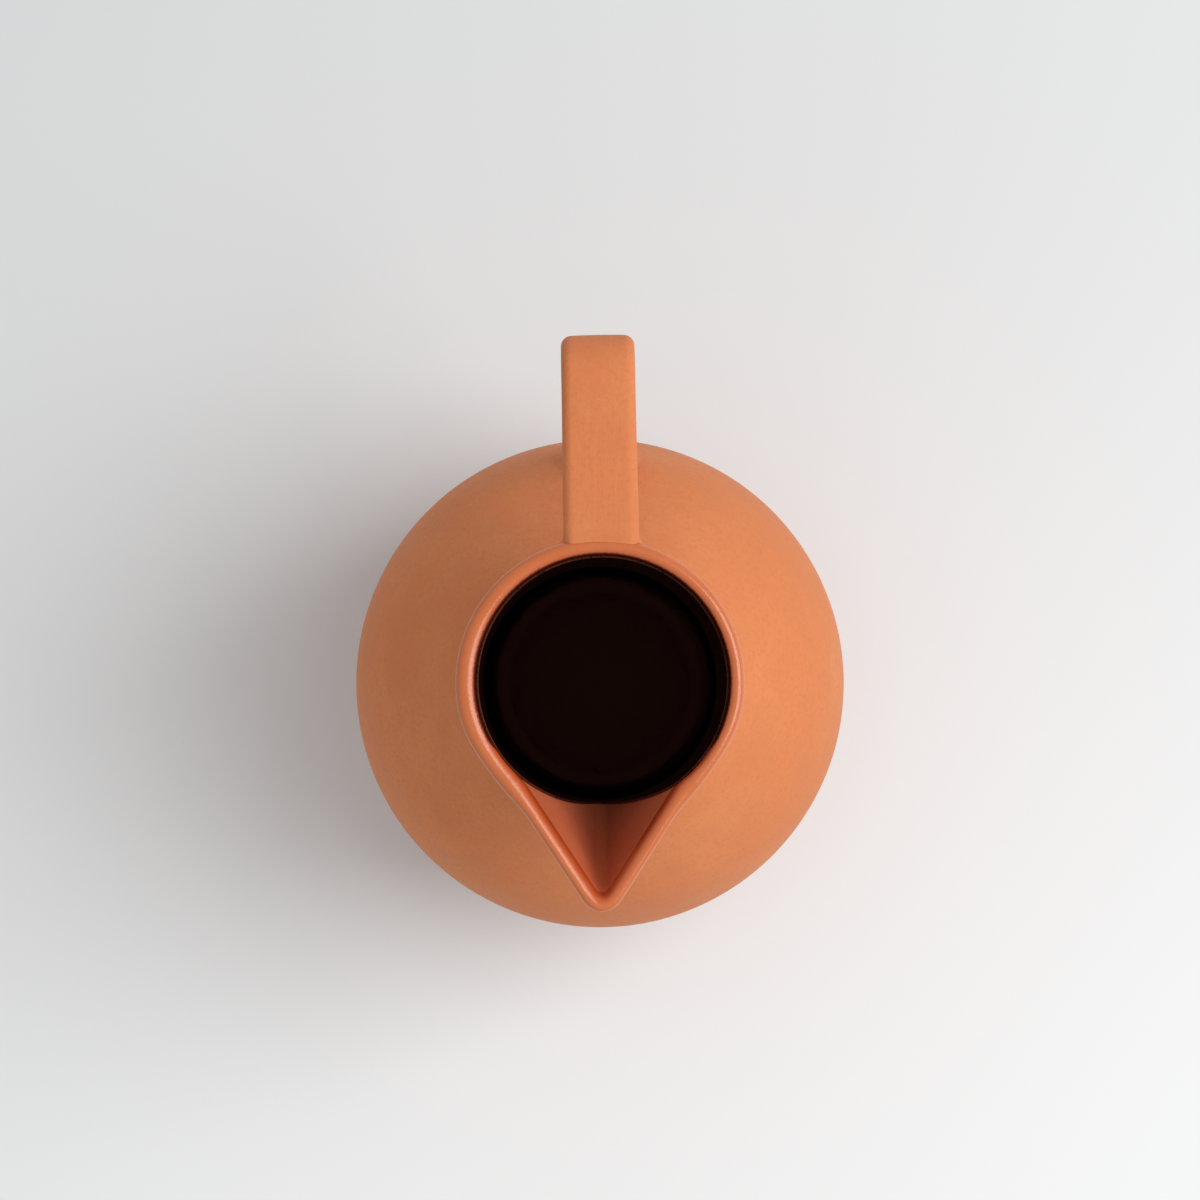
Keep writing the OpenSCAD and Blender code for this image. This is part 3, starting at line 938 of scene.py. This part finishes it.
def neck_joint_profile(f):
    """Slip under the neck and the fillet that runs from the shoulder up to the neck."""
    centre = (f.neck_r + f.neck_fillet_r,
              f.neck_z + f.neck_fillet_r * math.tan(f.shoulder_angle / 2))
    return ([(f.neck_in_r, f.neck_z), (f.neck_r, f.neck_z)]
            + arc(centre, f.neck_fillet_r, math.pi + f.shoulder_angle, math.pi)
            + [(f.neck_r, f.neck_low), (f.neck_in_r, f.neck_low)])


class BuildTurned(bpy.types.Operator):
    """Turns the foot, floor, bowl, shoulder and the slip rings between them"""

    bl_idname = "pitcher.turned_walls"
    bl_label = "Turned walls"

    def execute(self, context):
        f = jug_form()
        for name, profile, material, slot in (
                ("foot_ring", foot_profile(f), turned_clay(), "clay"),
                ("base_floor", floor_profile(f), turned_clay(), "clay"),
                ("bowl_wall", bowl_profile(f), turned_clay(), "clay"),
                ("belly_joint", belly_joint_profile(f), turned_clay(), "slip"),
                ("shoulder_wall", shoulder_profile(f), turned_clay(), "clay"),
                ("neck_joint", neck_joint_profile(f), turned_clay(), "slip")):
            mesh = turned_mesh("turned_" + name, profile, material, f)
            add_piece("turned_" + name, mesh, material, [name])
        return {"FINISHED"}


# ---------------------------------------------------------------- neck, spout and lip


class BuildNeck(bpy.types.Operator):
    """Builds the neck, the folded spout and the slip where they meet"""

    bl_idname = "pitcher.neck_and_spout"
    bl_label = "Neck and spout"

    def execute(self, context):
        f = jug_form()
        levels = neck_levels(f)
        joint_low = max(z for z in levels if joint_span(f, z)[1] <= 0.0)
        spout_low = max(z for z in levels if joint_span(f, z)[0] <= 0.0)

        def neck_start(z):
            edge = joint_span(f, z)[1]
            return edge, edge > 0.0

        def neck_end(z):
            edge = joint_span(f, z)[1]
            return 2 * math.pi - edge, edge > 0.0

        def add_wall(name, points, faces, inside, node, slot):
            # inner_skin marks the inner skin, which the clay's material darkens and reddens as
            # painted shade
            mesh = mesh_from(name, points, faces, inner_skin=inside)
            shade_skins(f, mesh)
            add_piece(name, mesh, turned_clay(), [node])

        add_wall("turned_neck", *wall_strip(f, levels, neck_start, neck_end, NECK_COLUMNS),
                 "neck_collar", "clay")

        def inner_edge(z, side):
            edge = joint_span(f, z)[0]
            return side * edge, edge > 0.0

        def outer_edge(z, side):
            return side * joint_span(f, z)[1], True

        joint_levels = [z for z in levels if z >= joint_low]
        points, faces, inside = [], [], []
        for side in (1, -1):
            strip = wall_strip(f, joint_levels, lambda z: inner_edge(z, side),
                               lambda z: outer_edge(z, side), JOINT_COLUMNS)
            faces += [tuple(i + len(points) for i in face) for face in strip[1]]
            points += list(strip[0])
            inside += strip[2]
        add_wall("spout_slip", points, faces, inside, "spout_joint", "slip")

        spout_levels = [z for z in levels if z >= spout_low]
        add_wall("folded_spout",
                 *wall_strip(f, spout_levels, lambda z: inner_edge(z, -1),
                             lambda z: inner_edge(z, 1), SPOUT_COLUMNS), "spout_wall", "clay")
        return {"FINISHED"}


# Steps over the lip's rounded top, and how much its height wanders
LIP_STEPS = 18
LIP_WANDER = 0.00022
# Angle beside the spout over which the glaze comes back onto the lip's inner side
GLAZE_RETURN = math.radians(30)
# Share of the way across the lip at which its inner side begins
LIP_INWARD = 0.6


class BuildLip(bpy.types.Operator):
    """Rounds the lip along the mouth and the spout"""

    bl_idname = "pitcher.lip"
    bl_label = "Lip"

    def execute(self, context):
        f = jug_form()
        inner, outer = joint_span(f, f.lip_low)
        turns = np.concatenate([
            np.linspace(-inner, inner, SPOUT_COLUMNS + 1)[:-1],
            np.linspace(inner, outer, JOINT_COLUMNS + 1)[:-1],
            np.linspace(outer, 2 * math.pi - outer, NECK_COLUMNS + 1)[:-1],
            np.linspace(2 * math.pi - outer, 2 * math.pi - inner, JOINT_COLUMNS + 1)[:-1]])
        wander = LIP_WANDER * (0.5 + 0.25 * np.sin(2 * turns + 1) + 0.25 * np.sin(5 * turns))
        crown = f.top - f.lip_round

        def side_row(z, share_in, lift):
            outside = place(f, outer_radius(f, z, turns), turns, z)
            inside = place(f, inner_radius(f, z, turns), turns, z)
            row = outside + (inside - outside) * share_in
            row[:, 2] -= wander * lift
            return row

        shares = [0.0, 0.0]
        rows = [side_row(z, 0.0, 0.0) for z in np.linspace(f.lip_low, crown, 3)[:-1]]
        for k in range(LIP_STEPS + 1):
            turn = math.pi * k / LIP_STEPS
            rise = math.sin(turn)
            rows.append(side_row(crown + f.lip_round * rise, (1 - math.cos(turn)) / 2, rise))
            shares.append((1 - math.cos(turn)) / 2)
        rows += [side_row(z, 1.0, 0.0) for z in np.linspace(crown, f.lip_low, 3)[1:]]
        shares += [1.0, 1.0]
        # The spout's lip has no glaze on its inner side
        beside = ease((np.minimum(turns, 2 * math.pi - turns) - outer) / GLAZE_RETURN)
        # Share of the painted inner shade on the lip's inner side
        turned_in = ease((np.array(shares) - LIP_INWARD) / (1 - LIP_INWARD))
        mesh = mesh_from("rounded_lip", *band(rows),
                         lip_share=np.concatenate([share_in * beside for share_in in shares]),
                         inner_skin=np.repeat(turned_in, len(turns)))
        shade_skins(f, mesh)
        add_piece("rounded_lip", mesh, lip_clay(), ["rim_lip"])
        return {"FINISHED"}


# ---------------------------------------------------------------- handle


STRAP_CORNER_STEPS = 8
STRAP_FLAT_STEPS = 8
STRAP_BEND_STEPS = 24
STRAP_LEVEL_STEPS = 24
STRAP_DROP_STEPS = 36
# How much lower the strap's broad faces are at their edges than at their middle
STRAP_CROWN = 0.00025
# Run over which the strap dips to meet the lip, and over which it widens
DIP_RUN = 0.003
FLARE_RUN = 0.045
# First section point of the slip under the strap's root, and the steepest that it goes up to
UNDER_START = STRAP_CORNER_STEPS // 2 + STRAP_CORNER_STEPS + STRAP_FLAT_STEPS
UNDER_LIMIT = 0.55
# Length searched for the body along the strap's drop
DROP_REACH = 0.2
# How the strap's rings crowd towards its root
ROOT_CROWDING = 1.4
# Least share of the slip's size round the strap's root
ROOT_SLIP_LEAST = 0.15
# How far a fillet's back corner sits inside the clay, as a share of its size
FILLET_BITE = 0.04


def strap_section(f):
    """Points and outward directions of the strap's section: across, and down from its top."""
    half = f.strap_w / 2
    edge = f.strap_edge_r
    corners = [(half - edge, -edge, 0), (edge - half, -edge, 90),
               (edge - half, edge - f.strap_t, 180), (half - edge, edge - f.strap_t, 270)]
    points, normals = [], []
    for index, (x, y, start) in enumerate(corners):
        for i in range(STRAP_CORNER_STEPS + 1):
            a = math.radians(start + 90 * i / STRAP_CORNER_STEPS)
            points.append((x + edge * math.cos(a), y + edge * math.sin(a)))
            normals.append((math.cos(a), math.sin(a)))
        a = math.radians(start + 90)
        ahead = corners[(index + 1) % 4]
        begin = np.array(points[-1])
        end = np.array((ahead[0] + edge * math.cos(a), ahead[1] + edge * math.sin(a)))
        for i in range(1, STRAP_FLAT_STEPS):
            points.append(tuple(begin + (end - begin) * i / STRAP_FLAT_STEPS))
            normals.append((math.cos(a), math.sin(a)))
    points = np.array(points)
    crown = STRAP_CROWN * np.clip(np.abs(points[:, 0]) / half, 0, 1)**2
    points[:, 1] -= np.where(points[:, 1] > -f.strap_t / 2, crown, -crown)
    return points, np.array(normals)


def handle_place(f, points):
    """Turns and shifts points of the handle off the centre plane."""
    points = np.array(points, float)
    x = points[..., 0] + f.strap_shift
    y = points[..., 1]
    c, s = math.cos(f.strap_skew), math.sin(f.strap_skew)
    return np.stack([c * x - s * y, s * x + c * y, points[..., 2]], axis=-1)


def drop_to_body(f, point, run, reach):
    """Distance from a point along the run to the body, by halving."""
    near, far = 0.0, reach
    for _ in range(40):
        middle = (near + far) / 2
        x, y, z = point + run * middle
        if math.hypot(x + f.strap_shift, y) > body_radius(f, z):
            near = middle
        else:
            far = middle
    return (near + far) / 2


class StrapRun:
    """The strap's rings, from the neck round the bend and down to the body."""

    def __init__(self, f):
        section, normals = strap_section(f)
        self.f = f
        self.section = section
        self.normals = normals
        bend_y = f.strap_reach - f.strap_bend_r
        bend_z = f.top - f.strap_bend_r
        full = math.pi / 2 + f.strap_slant
        root = []
        for x, down in section:
            z = f.top + down
            radius = neck_surface_radius(f, z - (f.root_dip if down > -f.strap_edge_r else 0.0))
            root.append(math.sqrt(radius**2 - (x + f.strap_shift)**2))
        root = np.array(root)
        self.rings = []
        for k in range(STRAP_LEVEL_STEPS + 1):
            t = k / STRAP_LEVEL_STEPS
            along = root + (bend_y - root) * t**ROOT_CROWDING
            gone = along - root
            dip = f.root_dip * (1 - ease(gone / DIP_RUN)) * (section[:, 1] > -f.strap_t / 2)
            flare = 1 + f.root_flare * (1 - ease(gone / FLARE_RUN))
            self.rings.append(np.stack([section[:, 0] * flare, along,
                                        f.top + section[:, 1] - dip], axis=1))
        for k in range(1, STRAP_BEND_STEPS + 1):
            a = full * k / STRAP_BEND_STEPS
            reach = f.strap_bend_r + section[:, 1]
            self.rings.append(np.stack([section[:, 0], bend_y + reach * math.sin(a),
                                        bend_z + reach * math.cos(a)], axis=1))
        self.run = np.array((0.0, -math.sin(f.strap_slant), -math.cos(f.strap_slant)))
        start = self.rings[-1]
        self.start = start
        self.drop = np.array([drop_to_body(f, p, self.run, DROP_REACH) for p in start])
        for k in range(1, STRAP_DROP_STEPS + 1):
            self.rings.append(start + self.run * (self.drop * k / STRAP_DROP_STEPS)[:, None])
        out = np.array((0.0, math.cos(f.strap_slant), -math.sin(f.strap_slant)))
        self.foot_normals = (normals[:, :1] * np.array((1.0, 0.0, 0.0)) + normals[:, 1:] * out)


def fillet_section(on_strap, corner, on_wall, steps=8):
    """Hollow curve from the strap to the wall, closed through the corner between them."""
    rows = []
    for k in range(steps + 1):
        t = k / steps
        rows.append((1 - t)**2 * on_strap + 2 * t * (1 - t) * corner + t**2 * on_wall)
    rows.append(corner - (on_strap + on_wall - 2 * corner) * FILLET_BITE)
    return rows


class BuildHandle(bpy.types.Operator):
    """Bends the strap and models the slip at its root and foot"""

    bl_idname = "pitcher.handle"
    bl_label = "Strap handle"

    def execute(self, context):
        f = jug_form()
        strap = StrapRun(f)
        points, faces = capped([handle_place(f, ring) for ring in strap.rings])
        add_piece("flat_strap", mesh_from("flat_strap", points, faces), strap_clay(),
                  ["handle_strap"])

        size = f.foot_slip
        rows = []
        for start, drop, normal in zip(strap.start, strap.drop, strap.foot_normals):
            corner = start + strap.run * drop
            beside = start + normal * size
            wall = beside + strap.run * drop_to_body(f, beside, strap.run, DROP_REACH)
            rows.append(fillet_section(corner - strap.run * size, corner, wall))
        points, faces = band([handle_place(f, row) for row in rows])
        add_piece("strap_foot_slip", mesh_from("strap_foot_slip", points, faces), strap_clay(),
                  ["handle_lower_joint"])

        root = strap.rings[0]
        rows = []
        for corner, normal in zip(np.roll(root, -UNDER_START, axis=0),
                                  np.roll(strap.normals, -UNDER_START, axis=0)):
            if normal[1] > UNDER_LIMIT:
                continue
            swell = float(ease((UNDER_LIMIT - normal[1]) / UNDER_LIMIT))
            size = f.root_slip * (ROOT_SLIP_LEAST + (1 - ROOT_SLIP_LEAST) * swell)
            x = corner[0] + normal[0] * size
            z = corner[2] + normal[1] * size
            reach = math.sqrt(neck_surface_radius(f, z)**2 - (x + f.strap_shift)**2)
            wall = np.array((x, reach, z))
            rows.append(fillet_section(corner + np.array((0.0, size, 0.0)), corner, wall))
        points, faces = capped([handle_place(f, row) for row in rows])
        add_piece("strap_root_slip", mesh_from("strap_root_slip", points, faces), strap_clay(),
                  ["handle_upper_joint"])
        return {"FINISHED"}


# ---------------------------------------------------------------- glaze


# How much the glaze's edge wanders up and down, and its gap below the spout's sloping floor
GLAZE_WANDER = 0.0007
GLAZE_GAP = 0.0003
# Levels up the glaze inside the neck
GLAZE_STEPS = 40


def funnel_height(f, turn):
    """Height at which the spout's sloping inside leaves the neck's inner wall, by halving."""
    low, high = f.neck_low, f.top
    for _ in range(30):
        middle = (low + high) / 2
        if fold_radius(f, middle, turn, f.spout_wall) < mouth_circle(f, middle, turn):
            low = middle
        else:
            high = middle
    return (low + high) / 2


class BuildGlaze(bpy.types.Operator):
    """Lines the hollow with glaze up to just under the lip"""

    bl_idname = "pitcher.glaze"
    bl_label = "Glaze lining"

    def execute(self, context):
        f = jug_form()
        steps = GLAZE_STEPS
        against = ([(0.0, f.floor_z), (f.floor_r * 0.5, f.floor_z)]
                   + hollow_low(f, 0.0, f.belly_z) + hollow_high(f, 0.0))
        facing = ([(0.0, f.floor_z + f.glaze_t), (f.floor_r * 0.5, f.floor_z + f.glaze_t)]
                  + hollow_low(f, f.glaze_t, f.belly_z) + hollow_high(f, f.glaze_t))
        turns = np.linspace(-math.pi, math.pi, f.segments + 1)[:-1]
        sections, depths = [], []
        for turn in turns:
            ripple = 0.3 * math.sin(3 * turn + 1) + 0.2 * math.sin(11 * turn)
            wander = GLAZE_WANDER * (0.5 + ripple)
            edge = f.glaze_top - wander
            if abs(turn) < math.pi / 2:
                edge = min(edge, funnel_height(f, turn) - GLAZE_GAP)
            section, depth = [], []
            for r, z in against:
                section.append((r, z))
                depth.append(edge - z)
            base = against[-1][1]
            for k in range(1, steps + 1):
                z = base + (edge - base) * k / steps
                section.append((float(mouth_circle(f, z, turn)), z))
                depth.append(edge - z)
            # Rounded edge of the glaze
            mouth = float(mouth_circle(f, edge, turn))
            section.append((mouth - f.glaze_t * 0.5, edge + f.glaze_t * 0.2))
            depth.append(0.0)
            base = facing[-1][1]
            for k in range(steps, 0, -1):
                z = base + (edge - base) * k / steps
                section.append((float(mouth_circle(f, z, turn)) - f.glaze_t, z))
                depth.append(edge - z)
            for r, z in facing[::-1]:
                section.append((r, z))
                depth.append(edge - z)
            rows = np.array(section)
            sections.append(place(f, rows[:, 0], np.full(len(rows), turn), rows[:, 1]))
            depths.append(depth)
        points, faces = band(sections)
        size = len(sections[0])
        # The section's two ends lie on the axis, so no face joins them
        faces = [face for face in faces
                 if not (face[0] % size == size - 1 and face[1] % size == 0)]
        mesh = mesh_from("glaze_lining", points, faces, glaze_depth=np.concatenate(depths))
        add_piece("glaze_lining", mesh, glaze_material(), ["interior_glaze"])
        return {"FINISHED"}


# ---------------------------------------------------------------- stage


# Half the side of the floor
STAGE_HALF = 4.0


class BuildStage(bpy.types.Operator):
    """Sets the floor, the lights and the camera"""

    bl_idname = "pitcher.stage"
    bl_label = "Stage"

    def execute(self, context):
        scene = context.scene
        sizes = scene.jug_stage
        half = STAGE_HALF
        mesh = bpy.data.meshes.new("stage_floor")
        mesh.from_pydata([(-half, -half, 0), (half, -half, 0), (half, half, 0), (-half, half, 0)],
                         [], [(0, 1, 2, 3)])
        floor = bpy.data.objects.new("stage_floor", mesh)
        scene.collection.objects.link(floor)
        mesh.materials.append(stage_material())

        rise, turn = sizes.key_rise, sizes.key_turn
        spot = sizes.key_reach * Vector((math.cos(rise) * math.cos(turn),
                                         math.cos(rise) * math.sin(turn), math.sin(rise)))
        lamp = bpy.data.lights.new("key_light", "AREA")
        lamp.shape = "SQUARE"
        lamp.size = sizes.key_size
        lamp.energy = sizes.key_power
        key = bpy.data.objects.new("key_light", lamp)
        key.location = spot
        key.rotation_euler = (-spot).to_track_quat("-Z", "Y").to_euler()
        scene.collection.objects.link(key)

        world = bpy.data.worlds.new("studio")
        world.use_nodes = True
        sky = world.node_tree.nodes["Background"]
        sky.inputs["Color"].default_value = (1.0, 1.0, 1.0, 1.0)
        sky.inputs["Strength"].default_value = sizes.sky
        scene.world = world

        lens = bpy.data.cameras.new("camera")
        lens.lens = sizes.focal
        lens.sensor_width = 36.0
        lens.clip_end = 20.0
        camera = bpy.data.objects.new("camera", lens)
        belly_z = scene.jug_sizes.belly_z
        camera.location = (0.0, 0.0, sizes.camera_height)
        # Tilt about X towards +Y keeps the handle at the top of the picture
        camera.rotation_euler = (math.atan2(sizes.aim_shift, sizes.camera_height - belly_z), 0, 0)
        scene.collection.objects.link(camera)
        scene.camera = camera
        scene.view_settings.view_transform = "Standard"
        return {"FINISHED"}


# ---------------------------------------------------------------- panel and registration


OPERATORS = (BuildStage, BuildTurned, BuildNeck, BuildLip, BuildHandle, BuildGlaze)


class PitcherPanel(bpy.types.Panel):
    """Sizes, colours and steps of the pitcher"""

    bl_idname = "VIEW3D_PT_pitcher"
    bl_label = "Pitcher"
    bl_space_type = "VIEW_3D"
    bl_region_type = "UI"
    bl_category = "Pitcher"

    def draw(self, context):
        layout = self.layout
        for step in OPERATORS:
            layout.operator(step.bl_idname)
        for group in (context.scene.jug_sizes, context.scene.jug_colours,
                      context.scene.jug_stage):
            box = layout.box()
            for key in group.__annotations__:
                box.prop(group, key)


CLASSES = (JugSizes, JugColours, StageSizes, *OPERATORS, PitcherPanel)


def register():
    for cls in CLASSES:
        bpy.utils.register_class(cls)
    bpy.types.Scene.jug_sizes = PointerProperty(type=JugSizes)
    bpy.types.Scene.jug_colours = PointerProperty(type=JugColours)
    bpy.types.Scene.jug_stage = PointerProperty(type=StageSizes)


def unregister():
    del bpy.types.Scene.jug_stage
    del bpy.types.Scene.jug_colours
    del bpy.types.Scene.jug_sizes
    for cls in reversed(CLASSES):
        bpy.utils.unregister_class(cls)


def main():
    register()
    for step in OPERATORS:
        group, name = step.bl_idname.split(".")
        getattr(getattr(bpy.ops, group), name)()


if __name__ == "__main__":
    main()
